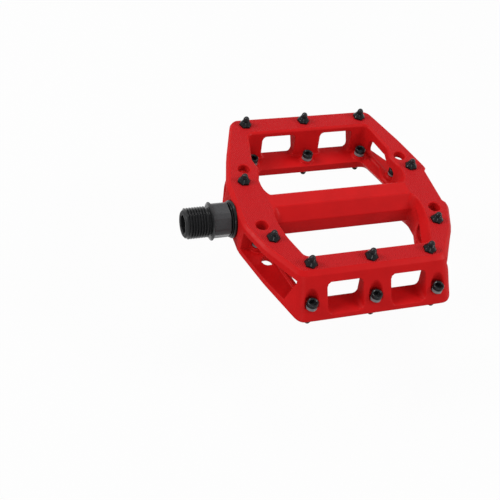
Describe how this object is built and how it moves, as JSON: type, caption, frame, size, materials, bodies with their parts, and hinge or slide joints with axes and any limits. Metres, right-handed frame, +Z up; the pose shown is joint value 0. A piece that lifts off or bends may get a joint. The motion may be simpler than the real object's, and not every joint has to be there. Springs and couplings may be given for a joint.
{
  "type": "flat pedal",
  "caption": "Two-sided moulded platform pedal with cap-screw traction studs, open foot wells and a threaded steel spindle on a bushing and cartridge bearing.",
  "frame": {"origin": "on the spindle's axis, in the plane of the shoulder that seats on the crank arm", "axes": "+X outboard along the spindle, +Y forward on the bicycle, +Z up"},
  "size_m": [0.1268, 0.1148, 0.0282],
  "materials": {
    "moulded_platform": "moulded glass-filled nylon, fine diagonal texture on both faces",
    "black_steel": "black oxide, satin",
    "stud_steel": "black oxide",
    "nut_steel": "black oxide, bright edges",
    "seal_rubber": "moulded rubber",
    "bushing_polymer": "turned bearing polymer",
    "bearing_steel": "ground",
    "bearing_balls": "polished",
    "cage_steel": "pressed",
    "shield_rubber": "moulded rubber",
    "zinc_steel": "zinc plated",
    "cap_plastic": "black, semi-gloss"
  },
  "bodies": {
    "spindle": {"spindle": "black_steel", "bearing_inner_race": "bearing_steel", "bearing_washer": "zinc_steel", "lock_nut": "zinc_steel"},
    "platform": {"pedal_body": "moulded_platform", "axle_seal": "seal_rubber", "bushing": "bushing_polymer", "bearing_outer_race": "bearing_steel", "bearing_shields": "shield_rubber", "end_cap": "cap_plastic", "end_cap_o_ring": "seal_rubber", "top_outer_studs": "stud_steel", "top_inner_studs": "stud_steel", "top_side_studs": "stud_steel", "bottom_outer_studs": "stud_steel", "bottom_inner_studs": "stud_steel", "bottom_side_studs": "stud_steel", "top_outer_nuts": "nut_steel", "top_inner_nuts": "nut_steel", "top_side_nuts": "nut_steel", "bottom_outer_nuts": "nut_steel", "bottom_inner_nuts": "nut_steel", "bottom_side_nuts": "nut_steel"},
    "ball_ring": {"bearing_balls": "bearing_balls", "bearing_cage": "cage_steel"}
  },
  "joints": [
    {"name": "platform_spin", "type": "hinge", "parent": "spindle", "child": "platform", "pos_m": [0, 0, 0], "axis": [1, 0, 0], "continuous": true},
    {"name": "ball_ring_spin", "type": "hinge", "parent": "spindle", "child": "ball_ring", "pos_m": [0, 0, 0], "axis": [1, 0, 0], "continuous": true}
  ],
  "couplings": [
    {"joint": "ball_ring_spin", "follows": "platform_spin", "ratio": 0.5691}
  ]
}
